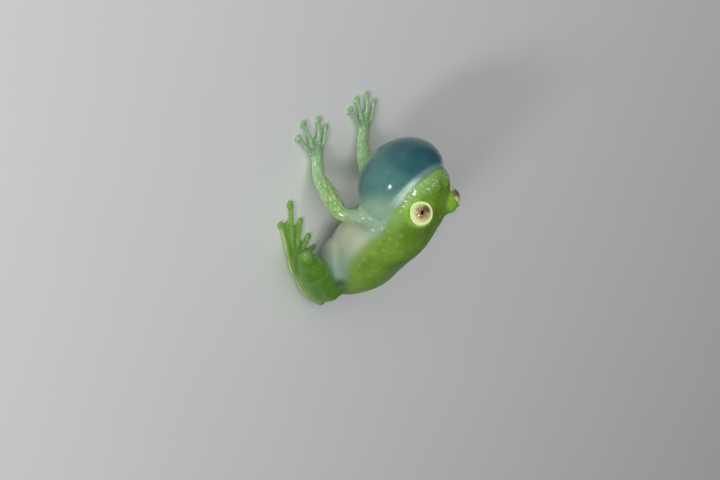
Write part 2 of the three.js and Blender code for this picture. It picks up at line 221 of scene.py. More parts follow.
def along_row(row, value):
    marks, sizes = zip(*row)
    return np.interp(value, marks, sizes)


def hump(distance, width):
    return np.exp(-(distance / width) ** 2)


def near_spot(places, spot):
    """1 near a spot, 0 far from it."""
    away = np.linalg.norm(places - spot["place"], axis=1)
    return 1 - ease(away, spot["near"], spot["far"])


def seen_from_eye(places, side):
    """The way from the middle of an eye to each place, how long, how far ahead, and degrees off the gaze."""
    away = places - on_head(EYE["place"], side)
    distance = np.maximum(np.linalg.norm(away, axis=1), LEAST)
    ahead = away @ head_aim(GAZE, side)
    return away, distance, ahead, np.degrees(np.arccos(np.clip(ahead / distance, -1, 1)))


# The skin's own shape

def new_piece(name, form):
    mesh = bpy.data.meshes.new(name)
    form.to_mesh(mesh)
    form.free()
    piece = bpy.data.objects.new(name, mesh)
    bpy.context.scene.collection.objects.link(piece)
    return piece


def settle(piece):
    """Makes the piece's modifiers part of its mesh."""
    shape = piece.evaluated_get(bpy.context.evaluated_depsgraph_get())
    mesh = bpy.data.meshes.new_from_object(shape)
    piece.modifiers.clear()
    piece.data = mesh


def places_of(mesh):
    flat = np.empty(len(mesh.vertices) * 3, np.float32)
    mesh.vertices.foreach_get("co", flat)
    return flat.reshape(-1, 3).astype(float) / MM - SHIFT


def move_to(mesh, places):
    mesh.vertices.foreach_set("co", ((places + SHIFT) * MM).astype(np.float32).ravel())
    mesh.update()


def facing_of(mesh):
    flat = np.empty(len(mesh.vertices) * 3, np.float32)
    mesh.vertices.foreach_get("normal", flat)
    return flat.reshape(-1, 3).astype(float)


def flesh():
    return [name for name in sorted(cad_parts) if not name.startswith("eye_")]


def swelling(places):
    """How far the flesh is swollen at each place."""
    low = places[:, 2] < DIGITS["top"]
    fingers = low * ease(places[:, 0], *DIGITS["fingers"])
    toes = low * ease(places[:, 0], *DIGITS["toes"]) * (places[:, 0] < DIGITS["toes_end"])
    toes = toes * (np.abs(places[:, 1]) > DIGITS["toes_off_middle"])
    return SKIN["swell"] - (SKIN["swell"] - SKIN["digit_swell"]) * np.maximum(fingers, toes)


def swollen_flesh():
    """All the flesh in one, swollen until the pieces meet, with the eye sockets and the hollows filled."""
    form = bmesh.new()
    for name in flesh():
        form.from_mesh(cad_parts[name].data)
    bmesh.ops.remove_doubles(form, verts=form.verts, dist=LEAST * MM)
    form.normal_update()
    swell = swelling(np.array([vert.co for vert in form.verts]) / MM - SHIFT)
    moves = [vert.normal * amount * MM for vert, amount in zip(form.verts, swell)]
    for vert, move in zip(form.verts, moves):
        vert.co += move
    for side in (1, -1):
        fill_radius = (EYE["radius"] + EYE["socket_fill"]) * MM
        fill = bmesh.ops.create_icosphere(form, subdivisions=BALL_SPLITS, radius=fill_radius)["verts"]
        bmesh.ops.translate(form, verts=fill, vec=to_scene(on_head(EYE["place"], side)))
        for filling in FILLINGS.values():
            soft = bmesh.ops.create_icosphere(form, subdivisions=BALL_SPLITS, radius=MM)["verts"]
            bmesh.ops.scale(form, verts=soft, vec=filling["size"])
            bmesh.ops.translate(form, verts=soft, vec=to_scene(np.array(filling["place"]) * [1, side, 1]))
    return form


def parts_near(places):
    """For each place, which piece of flesh it belongs to."""
    form = bmesh.new()
    owner = []
    for number, name in enumerate(flesh()):
        form.from_mesh(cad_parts[name].data)
        owner += [number] * (len(form.faces) - len(owner))
    tree = BVHTree.FromBMesh(form)
    form.free()
    found = [tree.find_nearest((place + SHIFT) * MM)[2] for place in places]
    return np.array(owner)[found]


def fine_places(places, owners):
    """Where the skin needs a finer mesh: lids, nose, mouth, hands and feet."""
    head = from_head(places)
    near_eye = np.zeros(len(places), bool)
    for side in (1, -1):
        near_eye |= np.linalg.norm(places - on_head(EYE["place"], side), axis=1) < FINE["eye"]
    lip = np.abs(head[:, 2] - along_row(MOUTH, head[:, 0])) < FINE["lip"]
    nose = (head[:, 0] > FINE["nose_from"]) & (np.abs(head[:, 1]) < FINE["nose_half_wide"]) & (head[:, 2] > 0)
    digits = np.isin(owners, [i for i, name in enumerate(flesh()) if name[:4] in ("hand", "foot")])
    return near_eye | (lip & (head[:, 0] > FINE["lip_from"])) | nose | digits


def refine(piece, chosen):
    """Splits the edges between chosen points."""
    form = bmesh.new()
    form.from_mesh(piece.data)
    form.verts.ensure_lookup_table()
    edges = [edge for edge in form.edges if chosen[edge.verts[0].index] and chosen[edge.verts[1].index]]
    bmesh.ops.subdivide_edges(form, edges=edges, cuts=1, use_grid_fill=True)
    form.to_mesh(piece.data)
    form.free()


def soften(piece, weights, rounds):
    """Smooths the skin, most where the weights are high."""
    group = piece.vertex_groups.new(name="soft")
    levels = np.clip(np.round(weights * SMOOTH_STEPS), 0, SMOOTH_STEPS).astype(int)
    for level in range(1, SMOOTH_STEPS + 1):
        chosen = np.nonzero(levels == level)[0]
        if len(chosen):
            group.add(chosen.tolist(), level / SMOOTH_STEPS, "REPLACE")
    smooth = piece.modifiers.new("soft", "SMOOTH")
    smooth.factor, smooth.iterations, smooth.vertex_group = SMOOTHING, rounds, "soft"
    settle(piece)
    piece.vertex_groups.clear()


def carve_eye(places, side):
    """The round lids, and the skin drawn in behind the eye that they frame."""
    away, distance, _, turn = seen_from_eye(places, side)
    near = 1 - ease(distance, EYE["radius"] + LID["reach"][0], EYE["radius"] + LID["reach"][1])
    snug = near * (1 - ease(turn, *LID["snug"]))
    outer = LID["outer"] + LID["loose"] * ease(turn, *LID["loosens"])
    wanted = distance + snug * (np.minimum(distance, outer) - distance)
    wanted += near * LID["rim"] * hump(turn - LID["open"] - LID["rim_off"], LID["rim_wide"])
    inside = near * (1 - ease(turn, LID["open"] - LID["edge"], LID["open"] + LID["edge"]))
    wanted += inside * (EYE["radius"] - LID["behind"] - wanted)
    return on_head(EYE["place"], side) + away * (wanted / distance)[:, None]


def carve_nostril(places, facing, side):
    """A small hole with a faint rim, at the point of the skin nearest to the nostril's place."""
    away = np.linalg.norm(places - on_head(NOSTRIL["place"], side), axis=1)
    spot = places[np.argmin(away)]
    reach = np.linalg.norm(places - spot, axis=1)
    depth = NOSTRIL["rim"] * hump(reach - NOSTRIL["rim_off"], NOSTRIL["rim_wide"])
    depth = depth - NOSTRIL["depth"] * hump(reach, NOSTRIL["hole"])
    return places + facing * (depth * (reach < NOSTRIL["within"]))[:, None]


def carve_mouth(places, facing):
    """A fine groove between the lips, with the upper lip standing a little proud."""
    head = from_head(places)
    off = head[:, 2] - along_row(MOUTH, head[:, 0])
    here = ease(head[:, 0], GROOVE["corner"], GROOVE["corner"] + GROOVE["starts"])
    here = here * (np.abs(off) < GROOVE["within"])
    depth = GROOVE["lip"] * hump(off - GROOVE["lip_off"], GROOVE["lip_wide"])
    depth = depth - GROOVE["deep"] * hump(off, GROOVE["wide"])
    return places + facing * (depth * here)[:, None]


def smooth_skin(skin, fine):
    """Smooths the swollen skin, shrinks it back, and draws it smoothly over the hollows."""
    soften(skin, np.where(fine, BEFORE_SHRINKING["fine"], 1.0), BEFORE_SHRINKING["rounds"])
    places = places_of(skin.data)
    shrink = SKIN["shrink"] * swelling(places)
    move_to(skin.data, places - facing_of(skin.data) * shrink[:, None])
    soften(skin, np.where(fine, AFTER_SHRINKING["fine"], 1.0), AFTER_SHRINKING["rounds"])
    head = from_head(places_of(skin.data))
    below_lip = band(along_row(MOUTH, head[:, 0]) - head[:, 2], *BELOW_LIP["band"])
    soften(skin, below_lip * ease(head[:, 0], *BELOW_LIP["ahead"]), BELOW_LIP["rounds"])
    left = as_left(places_of(skin.data))
    for spot in SMOOTHED:
        soften(skin, near_spot(left, spot), spot["rounds"])


def carve_skin(skin):
    """Shapes the lids, the mouth and the nostrils, and keeps the skin above the ground."""
    places = places_of(skin.data)
    for side in (1, -1):
        places = carve_eye(places, side)
    move_to(skin.data, places)
    facing = facing_of(skin.data)
    places = carve_mouth(places, facing)
    for side in (1, -1):
        places = carve_nostril(places, facing, side)
    places[:, 2] = np.maximum(places[:, 2], 0)
    move_to(skin.data, places)


def build_skin():
    """One skin over all the flesh, and for each of its points the piece of flesh it lies on."""
    skin = new_piece("skin", swollen_flesh())
    remesh = skin.modifiers.new("one skin", "REMESH")
    remesh.mode, remesh.voxel_size = "VOXEL", SKIN["voxel"] * MM
    settle(skin)
    places = places_of(skin.data)
    refine(skin, fine_places(places, parts_near(places)))
    places = places_of(skin.data)
    owners = parts_near(places)
    smooth_skin(skin, fine_places(places, owners))
    carve_skin(skin)
    skin.data.shade_smooth()
    return skin, owners


# Where each colour lies on the skin

def keep_mask(piece, name, values):
    mask = piece.data.attributes.new(name, "FLOAT", "POINT")
    mask.data.foreach_set("value", np.clip(values, 0, 1).astype(np.float32))


def neighbours(mesh):
    pairs = np.empty(len(mesh.edges) * 2, np.int32)
    mesh.edges.foreach_get("vertices", pairs)
    return pairs.reshape(-1, 2)


def spread(values, pairs, rounds):
    """Blurs a mask over the skin."""
    count = np.bincount(pairs.ravel(), minlength=len(values))
    for _ in range(rounds):
        total = np.bincount(pairs[:, 0], values[pairs[:, 1]], len(values))
        total += np.bincount(pairs[:, 1], values[pairs[:, 0]], len(values))
        values = 0.5 * values + 0.5 * total / np.maximum(count, 1)
    return values


def lies_on(names, kinds):
    """1 where the skin lies on flesh of one of these kinds, 0 elsewhere."""
    return np.any([np.char.startswith(names, kind) for kind in kinds], axis=0).astype(float)


def across_line(places, facing, line):
    """How far each place lies to either side of a line of points, as plus or minus, and how near it is."""
    side, near = np.zeros(len(places)), np.full(len(places), np.inf)
    for start, end in zip(np.array(line), np.array(line)[1:]):
        way = end - start
        share = np.clip((places - start) @ way / (way @ way), 0, 1)
        away = places - start - share[:, None] * way
        distance = np.linalg.norm(away, axis=1)
        closer = distance < near
        near[closer] = distance[closer]
        side[closer] = (distance * np.sign((away * np.cross(way, facing)).sum(axis=1)))[closer]
    return side, near


def mark_folds_and_rim_light(skin, left, facing, is_left):
    """Keeps the distance from the middle of the nearest pale line, fold and painted rim light, and where they
    are.
    """
    offset, nearest = np.ones(len(left)), np.full(len(left), np.inf)
    for word, lines in [("both", [FOOT_FOLD_AND_RIM]), *ARM_FOLDS_AND_RIMS.items()]:
        for line in lines:
            side, near = across_line(left, facing, line)
            closer = (near < nearest) & ((word == "both") | (is_left == (word == "left")))
            offset[closer], nearest[closer] = side[closer], near[closer]
    keep_mask(skin, "fold and rim side", MASK_MIDDLE + offset)
    keep_mask(skin, "fold and rim near", 1 - ease(nearest, *FOLD_AND_RIM["near"]))


def mark_grain(skin, left, names, pairs):
    """Keeps where a streaky pattern is read: the skin's places, drawn out along limbs and up the cheeks."""
    shift = np.zeros_like(left)
    for word in ("left", "right"):
        for kinds, joints in ((ARM_KINDS, ARMS[word]), (LEG_KINDS, LEG)):
            before = np.zeros(3)
            for kind, start, end in zip(kinds, np.array(joints), np.array(joints)[1:]):
                way = (end - start) / np.linalg.norm(end - start)
                here = names == kind + "_" + word
                shift[here] = before + DRAWN_OUT["limb"] * ((left[here] - start) @ way)[:, None] * way
                before = before + DRAWN_OUT["limb"] * (end - start)
    here, way = names == "head", HEAD_TURN @ (0, 0, 1)
    shift[here] = DRAWN_OUT["cheek"] * ((left[here] - NECK) @ way)[:, None] * way
    shift = np.stack([spread(shift[:, axis], pairs, BLUR["grain"]) for axis in range(3)], axis=1)
    grain = skin.data.attributes.new("grain", "FLOAT_VECTOR", "POINT")
    grain.data.foreach_set("vector", ((left - shift) * MM).astype(np.float32).ravel())


def mark_limbs(skin, left, names, pairs):
    """Keeps where the arms and legs are, with their shoulders and the highlight painted on the knees."""
    arm = spread(lies_on(names, ARM_KINDS), pairs, BLUR["limb"])
    filling = FILLINGS["belly"]
    bulge = np.linalg.norm((left - filling["place"]) / np.array(filling["size"]), axis=1)
    past_edge = (left - THIGH_EDGE["place"]) @ THIGH_EDGE["way"]
    inner_thigh = lies_on(names, ["thigh"]) * ease(past_edge, -THIGH_EDGE["fade"], THIGH_EDGE["fade"])
    pale = np.maximum(inner_thigh, 1 - ease(bulge, *BELLY_AREA["round_filling"]))
    leg = spread(lies_on(names, LEG_KINDS) * (1 - pale), pairs, BLUR["limb"])
    keep_mask(skin, "arm", arm)
    keep_mask(skin, "leg", leg)
    keep_mask(skin, "shoulder", near_spot(left, SHOULDER))
    keep_mask(skin, "knee", near_spot(left, KNEE_HIGHLIGHT_SPOT))
    return arm, leg


def mark_trunk(skin, places, jaw_line, leg):
    """Keeps where the pale belly and the lighter flank above it are."""
    below = along_row(FLANK_LINE, places[:, 0]) - places[:, 2]
    belly = ease(below, *BELLY_AREA["below"]) * ease(jaw_line, *BELLY_AREA["jaw"])
    keep_mask(skin, "belly", belly * (1 - leg))
    along = hump(places[:, 0] - FLANK_AREA["middle"], FLANK_AREA["half_long"])
    keep_mask(skin, "flank", ease(below, *FLANK_AREA["below"]) * along)


def mark_sac(skin, left, head, jaw_line, names, pairs):
    """Keeps where the sac is, chin and all, where it is milky, and where it is darker, partly by painted
    shade.
    """
    chin_top = CHIN_AREA["top"] + CHIN_AREA["rise"] * ease(head[:, 0], *CHIN_AREA["ahead"])
    chin = lies_on(names, ["lower_jaw"]) * (jaw_line < chin_top)
    keep_mask(skin, "sac", spread(np.maximum(lies_on(names, ["vocal_sac"]), chin), pairs, BLUR["sac"]))
    keep_mask(skin, "deep", ease(head[:, 0], *SAC_BLUE_AND_SHADE_AREA["ahead"]))
    across = head[:, 0] - SAC_MILKY_AREA["slant"] * (head[:, 2] + SAC_MILKY_AREA["drop"])
    keep_mask(skin, "milky", 1 - ease(across, *SAC_MILKY_AREA["across"]))
    keep_mask(skin, "sac_shade", hump(np.linalg.norm(left - SAC_SHADE_SPOT["place"], axis=1), SAC_SHADE_SPOT["wide"]))


def mark_face(skin, places, head, jaw_line, arm):
    """Keeps where the white lip, the cheek's painted glints, the nostrils' painted shade and the paler cheek
    are.
    """
    ahead = ease(head[:, 0], *LIP_AREA["ahead"])
    ahead = ahead * (1 - LIP_AREA["snout_less"] * ease(head[:, 0], *LIP_AREA["snout"]))
    keep_mask(skin, "lip", band(-jaw_line, *LIP_AREA["band"]) * ahead * (1 - arm))
    off = jaw_line - GLINT_AREA["jaw"] - GLINT_AREA["rise"] * ease(head[:, 0], *GLINT_AREA["rises"])
    glints = hump(off, GLINT_AREA["wide"]) * ease(head[:, 0], *GLINT_AREA["starts"])
    glints = glints * (1 - arm) * (1 - ease(head[:, 0], *GLINT_AREA["ends"]))
    keep_mask(skin, "glints", glints * ease(np.abs(head[:, 1]), *GLINT_AREA["sideways"]))
    nostril = [np.linalg.norm(places - on_head(NOSTRIL["place"], side), axis=1) for side in (1, -1)]
    keep_mask(skin, "nostril", hump(np.minimum(*nostril), NOSTRIL["shadow"]))
    cheek = ease(head[:, 0], *CHEEK_AREA["ahead"]) * (1 - ease(jaw_line, *CHEEK_AREA["jaw"]))
    keep_mask(skin, "cheek", cheek)


def mark_lids(skin, places):
    """Keeps how far each place is off the nearer eye's axis and beyond its lid, and where the brow is."""
    off_axis, beyond, brow = np.ones((3, len(places)))
    for side in (1, -1):
        here = places[:, 1] * side > 0
        away, distance, ahead, turn = seen_from_eye(places[here], side)
        off = np.sqrt(np.maximum(distance ** 2 - ahead ** 2, LEAST))
        off -= RING["longer"] * ((away @ head_aim(RING["long_way"], side)) / off) ** 2
        off_axis[here] = np.where(ahead > 0, off / MASK_REACH, 1)
        past = distance - LID["outer"]
        beyond[here] = MASK_MIDDLE + past
        brow[here] = band(turn, *BROW_AREA["turn"]) * (1 - ease(past, *BROW_AREA["beyond"]))
    keep_mask(skin, "off eye axis", off_axis)
    keep_mask(skin, "beyond lid", beyond)
    keep_mask(skin, "brow", brow)


def mark_skin(skin, owners):
    """Keeps a mask on the skin for each of its markings."""
    places, facing = places_of(skin.data), facing_of(skin.data)
    left, head, pairs = as_left(places), from_head(places), neighbours(skin.data)
    facing[places[:, 1] < 0, 1] *= -1
    names = np.array(flesh())[owners]
    jaw_line = head[:, 2] - along_row(MOUTH, head[:, 0])
    arm, leg = mark_limbs(skin, left, names, pairs)
    mark_trunk(skin, places, jaw_line, leg)
    mark_sac(skin, left, head, jaw_line, names, pairs)
    mark_face(skin, places, head, jaw_line, arm)
    mark_folds_and_rim_light(skin, left, facing, places[:, 1] > 0)
    mark_grain(skin, left, names, pairs)
    mark_lids(skin, places)


# Ways to put a material together

def recipe(name):
    material = bpy.data.materials.new(name)
    material.use_nodes = True
    material.node_tree.nodes.clear()
    return material, material.node_tree


def add(tree, kind, inputs=None, **settings):
    made = tree.nodes.new(kind)
    for key, value in settings.items():
        setattr(made, key, value)
    for key, value in (inputs or {}).items():
        if isinstance(value, bpy.types.NodeSocket):
            tree.links.new(value, made.inputs[key])
        else:
            made.inputs[key].default_value = value
    return made


def finish(tree, inputs):
    """Ends a material with its shader."""
    shader = add(tree, "ShaderNodeBsdfPrincipled", inputs)
    add(tree, "ShaderNodeOutputMaterial", {"Surface": shader.outputs[0]})


def shade(red, green, blue):
    """A colour given as a screen shows it, from 0 to 255."""
    line = [v / 255 / 12.92 if v <= 10 else ((v / 255 + 0.055) / 1.055) ** 2.4 for v in (red, green, blue)]
    return (*line, 1)


def mixed(tree, share, low, high):
    return add(tree, "ShaderNodeMix", {0: share, 6: low, 7: high}, data_type="RGBA").outputs[2]


def sums(tree, operation, *values, clamp=False):
    made = add(tree, "ShaderNodeMath", dict(enumerate(values)), operation=operation, use_clamp=clamp)
    return made.outputs[0]


def times(tree, value, other):
    return sums(tree, "MULTIPLY", value, other)


def most(tree, value, other):
    return sums(tree, "MAXIMUM", value, other)


def arrows(tree, operation, *values, out="Vector"):
    """A sum with directions or places."""
    return add(tree, "ShaderNodeVectorMath", dict(enumerate(values)), operation=operation).outputs[out]


def eased(tree, value, low, high):
    settings = {"Value": value, "From Min": low, "From Max": high}
    return add(tree, "ShaderNodeMapRange", settings, interpolation_type="SMOOTHSTEP").outputs[0]


def mask(tree, name):
    return add(tree, "ShaderNodeAttribute", attribute_name=name).outputs["Fac"]


# Cloudy patterns, as the size of their noise (so many to a metre), and where the ones used as masks fade
CLOUDS = {
    "fine": {"scale": 2600, "detail": 3},
    "broad": {"scale": 420, "detail": 4},
    "streaks": {"scale": 4600, "detail": 4, "rough": 0.6},
    "freckle groups": {"scale": 900, "detail": 3, "fades": (0.3, 0.5)},
    "bead groups": {"scale": 1300, "detail": 2, "fades": (0.3, 0.55)},
    "sac mottle": {"scale": 260, "detail": 3, "fades": (0.4, 0.7)},
    "floor": {"scale": 60, "detail": 4},
}

# Patterns of dots, as how many there are to a metre, how unevenly they lie, and where each dot fades
DOTS = {
    "freckles": {"scale": 820, "uneven": 0.9, "fades": (0.36, 0.08)},
    "specks": {"scale": 1700, "uneven": 1.0, "fades": (0.3, 0.12)},
    # Specks on the limbs, painted pale as glints of the wet skin
    "glint_flecks": {"scale": 4200, "uneven": 1.0, "fades": (0.45, 0.2)},
    "beads": {"scale": 2700, "uneven": 1.0, "fades": (0.42, 0.22)},
    # Specks by the shoulder, painted white as highlights
    "shoulder_glints": {"scale": 1000, "uneven": 1.0, "fades": (0.3, 0.1)},
}


def cells(tree, where, scale, feature="F1", uneven=1.0):
    settings = {"Vector": where, "Scale": scale, "Randomness": uneven}
    return add(tree, "ShaderNodeTexVoronoi", settings, feature=feature).outputs["Distance"]


def dots(tree, where, kind):
    size = DOTS[kind]
    return eased(tree, cells(tree, where, size["scale"], uneven=size["uneven"]), *size["fades"])


def clouds(tree, where, kind):
    size = CLOUDS[kind]
    settings = {"Scale": size["scale"], "Detail": size["detail"], "Roughness": size.get("rough", 0.5)}
    pattern = add(tree, "ShaderNodeTexNoise", {"Vector": where, **settings}).outputs["Fac"]
    return eased(tree, pattern, *size["fades"]) if "fades" in size else pattern


# The skin's finish

LIME, LEAF, SPOT, FLANK = shade(122, 160, 56), shade(94, 134, 40), shade(156, 184, 88), shade(148, 174, 84)
# The glint colour is a painted highlight
CHEEK, GLINT = shade(150, 196, 108), shade(240, 248, 238)
# The groin colour is painted shade where the belly meets the thighs
PINK_WHITE, BLUE_GREY, GROIN_PAINTED_SHADE = shade(198, 204, 176), shade(150, 174, 156), shade(54, 86, 56)
# The deepest sac colour is partly the sac's own blue and partly painted shade
SAC_BLUE_AND_SHADE, SAC_MIDDLE, SAC_MILKY = shade(44, 98, 106), shade(72, 122, 118), shade(156, 190, 162)
# The pale arm colour is both pale skin and painted glints of the wet skin
ARM_GREEN, ARM_OLIVE, ARM_PALE_AND_GLINT = shade(134, 176, 104), shade(140, 174, 92), shade(210, 236, 196)
SHOULDER_GREY, HAND_PALE = shade(156, 186, 158), shade(150, 190, 142)
LEG_GREEN, LEG_PALE, FOOT_GREEN = shade(92, 142, 40), shade(110, 162, 62), shade(132, 176, 84)
# The dimmed sac colour is painted shade
SAC_PAINTED_SHADE, BROW, FOLD_AND_RIM_LIGHT = shade(50, 98, 92), shade(164, 206, 74), shade(216, 236, 176)
# The dark nostril colour is painted shade
CREAM, LIP_WHITE, NOSTRIL_PAINTED_SHADE = shade(232, 246, 176), shade(198, 226, 216), shade(50, 84, 24)

# Between which values of a pattern, or of the place along or up the model in metres, each colour fades in
FADES = {
    "lime": (0.4, 0.9), "belly mottle": (0.5, 0.8), "pale leg": (0.4, 0.7), "olive arm": (0.42, 0.66),
    "arm streaks": (0.46, 0.62), "flecks in streaks": (0.4, 0.56),
    "pink belly": (-0.0066, -0.0005), "past groin": (-0.0082, -0.0066),
    "foot": (0.003, 0.0012), "hand": (0.0032, 0.0012),
}

# How strongly each marking covers the colour under it
COVER = {
    "flank": 0.6, "cheek": 0.7, "freckles": 0.45, "specks": 0.5, "belly mottle": 0.25, "arm streaks": 0.4,
    "glint_flecks": 0.8, "shoulder": 0.85, "sac mottle": 0.1, "sac_shade": 0.45, "fold and rim light": 0.75, "shoulder_glints": 0.5,
    "nostril": 0.7, "brow": 0.5,
}
FINE_IN_MOTTLE = 0.3

# How pale the highlight painted on top of the knee is at its specks, and how pale between them
KNEE_HIGHLIGHT = {"glint_flecks": 0.7, "between": 0.12}

# How wet the skin looks: its coat and roughness, and how much a leg counts as a limb beside an arm
WET = {"sac": 0.6, "limb": 0.8, "glints": 0.5, "least": 0.1, "leg": 0.3,
       "rough": 0.42, "sac_rough": 0.2, "fine_rough": 0.08}
SKIN_SHADER = {
    "Subsurface Weight": 0.4, "Subsurface Radius": (0.9, 1.0, 0.6), "Subsurface Scale": 0.0005,
    "Coat Roughness": 0.12, "IOR": 1.4, "Specular IOR Level": 0.22,
}
RELIEF = {"grain_scale": 4200, "wrinkles": 2.6, "strength": 0.5, "distance": 0.00008}


def faded(tree, value, kind):
    return eased(tree, value, *FADES[kind])


def cover(tree, colour, share, kind, over):
    """Lays a colour over another where the share is, as strongly as COVER says."""
    return mixed(tree, times(tree, share, COVER[kind]), colour, over)


def skin_patterns(tree):
    """The places and patterns that the skin's colours and relief share, each made once."""
    place = add(tree, "ShaderNodeTexCoord").outputs["Object"]
    grain = add(tree, "ShaderNodeAttribute", attribute_name="grain").outputs["Vector"]
    axes = add(tree, "ShaderNodeSeparateXYZ", {0: place})
    fine, broad = clouds(tree, place, "fine"), clouds(tree, place, "broad")
    streaks = clouds(tree, grain, "streaks")
    freckles = times(tree, dots(tree, place, "freckles"), clouds(tree, place, "freckle groups"))
    specks = times(tree, dots(tree, place, "specks"), COVER["specks"])
    return {
        "place": place, "along": axes.outputs["X"], "up": axes.outputs["Z"],
        "fine": fine, "broad": broad, "streaks": streaks,
        "mottle": sums(tree, "ADD", broad, times(tree, fine, FINE_IN_MOTTLE)),
        "freckles": most(tree, freckles, specks),
        "glint_flecks": times(tree, dots(tree, grain, "glint_flecks"), faded(tree, streaks, "flecks in streaks")),
        "beads": dots(tree, grain, "beads"),
    }


def back_colour(tree, made):
    colour = mixed(tree, faded(tree, made["mottle"], "lime"), LEAF, LIME)
    colour = cover(tree, colour, mask(tree, "flank"), "flank", FLANK)
    colour = cover(tree, colour, made["freckles"], "freckles", SPOT)
    return cover(tree, colour, mask(tree, "cheek"), "cheek", CHEEK)


def belly_colour(tree, made):
    colour = mixed(tree, faded(tree, made["along"], "pink belly"), BLUE_GREY, PINK_WHITE)
    # Painted shade towards the groin, at the back of the belly
    colour = mixed(tree, faded(tree, made["along"], "past groin"), GROIN_PAINTED_SHADE, colour)
    return cover(tree, colour, faded(tree, made["mottle"], "belly mottle"), "belly mottle", BLUE_GREY)


def leg_colour(tree, made):
    colour = mixed(tree, faded(tree, made["broad"], "pale leg"), LEG_GREEN, LEG_PALE)
    colour = cover(tree, colour, made["freckles"], "freckles", SPOT)
    colour = mixed(tree, faded(tree, made["up"], "foot"), colour, FOOT_GREEN)
    # A highlight painted on top of the knee, palest at its specks
    glint_flecks = sums(tree, "MULTIPLY_ADD", made["glint_flecks"], KNEE_HIGHLIGHT["glint_flecks"], KNEE_HIGHLIGHT["between"])
    return mixed(tree, times(tree, mask(tree, "knee"), glint_flecks), colour, ARM_PALE_AND_GLINT)


def arm_colour(tree, made):
    colour = mixed(tree, faded(tree, made["broad"], "olive arm"), ARM_GREEN, ARM_OLIVE)
    colour = mixed(tree, faded(tree, made["up"], "hand"), colour, HAND_PALE)
    # Pale streaks, partly the skin's own streaky pattern and partly painted glints, then specks of painted
    # highlight
    colour = cover(tree, colour, faded(tree, made["streaks"], "arm streaks"), "arm streaks", ARM_PALE_AND_GLINT)
    return cover(tree, colour, made["glint_flecks"], "glint_flecks", ARM_PALE_AND_GLINT)


def sac_colour(tree, made):
    # Darker in front: partly the sac's own blue, partly painted shade
    colour = mixed(tree, mask(tree, "deep"), SAC_MIDDLE, SAC_BLUE_AND_SHADE)
    colour = mixed(tree, mask(tree, "milky"), colour, SAC_MILKY)
    colour = cover(tree, colour, clouds(tree, made["place"], "sac mottle"), "sac mottle", SAC_MILKY)
    # Painted shade where the sac is darkest
    return cover(tree, colour, mask(tree, "sac_shade"), "sac_shade", SAC_PAINTED_SHADE)


def fold_and_rim_light_share(tree):
    """How far a place is on a pale line, partly a fold of skin and partly painted rim light."""
    off = sums(tree, "ABSOLUTE", sums(tree, "SUBTRACT", mask(tree, "fold and rim side"), MASK_MIDDLE))
    return times(tree, eased(tree, off, *FOLD_AND_RIM["half_wide"]), mask(tree, "fold and rim near"))


def glint_share(tree, made):
    """Highlights painted white: on the shiny beads of the cheek, and in specks by the shoulder."""
    beads = times(tree, made["beads"], clouds(tree, made["place"], "bead groups"))
    shoulder_glints = times(tree, dots(tree, made["place"], "shoulder_glints"), mask(tree, "shoulder"))
    return most(tree, times(tree, beads, mask(tree, "glints")), times(tree, shoulder_glints, COVER["shoulder_glints"]))


def ring_share(tree):
    """How far a place is on the cream ring of the lid."""
    off = eased(tree, mask(tree, "off eye axis"), *[off / MASK_REACH for off in RING["off"]])
    beyond = [MASK_MIDDLE + past for past in RING["beyond"]]
    return times(tree, off, eased(tree, mask(tree, "beyond lid"), *beyond))


def skin_colour(tree, made):
    """The back, belly, legs, arms and sac, one over the other, then the small markings, painted light and
    shade among them.
    """
    colour = mixed(tree, mask(tree, "belly"), back_colour(tree, made), belly_colour(tree, made))
    colour = mixed(tree, mask(tree, "leg"), colour, leg_colour(tree, made))
    colour = mixed(tree, mask(tree, "arm"), colour, arm_colour(tree, made))
    colour = cover(tree, colour, mask(tree, "shoulder"), "shoulder", SHOULDER_GREY)
    colour = mixed(tree, mask(tree, "sac"), colour, sac_colour(tree, made))
    colour = mixed(tree, mask(tree, "lip"), colour, LIP_WHITE)
    # Pale lines along the limbs' edges: partly folds of skin, partly painted rim light
    colour = cover(tree, colour, fold_and_rim_light_share(tree), "fold and rim light", FOLD_AND_RIM_LIGHT)
    # Painted highlights on the cheek's beads and by the shoulder
    colour = mixed(tree, glint_share(tree, made), colour, GLINT)
    # Painted shade in and round the nostrils
    colour = cover(tree, colour, mask(tree, "nostril"), "nostril", NOSTRIL_PAINTED_SHADE)
    colour = cover(tree, colour, mask(tree, "brow"), "brow", BROW)
    return mixed(tree, ring_share(tree), colour, CREAM)


def skin_relief(tree, made, smooth, limb):
    """Fine grains, wrinkles along the limbs and beads on the cheek, none of them on the sac."""
    wrinkles = times(tree, made["streaks"], times(tree, limb, RELIEF["wrinkles"]))
    grains = cells(tree, made["place"], RELIEF["grain_scale"], "SMOOTH_F1")
    height = sums(tree, "ADD", grains, wrinkles)
    height = sums(tree, "MULTIPLY_ADD", made["beads"], mask(tree, "glints"), height)
    height = times(tree, height, sums(tree, "SUBTRACT", 1.0, smooth, clamp=True))
    settings = {"Strength": RELIEF["strength"], "Distance": RELIEF["distance"], "Height": height}
    return add(tree, "ShaderNodeBump", settings).outputs[0]


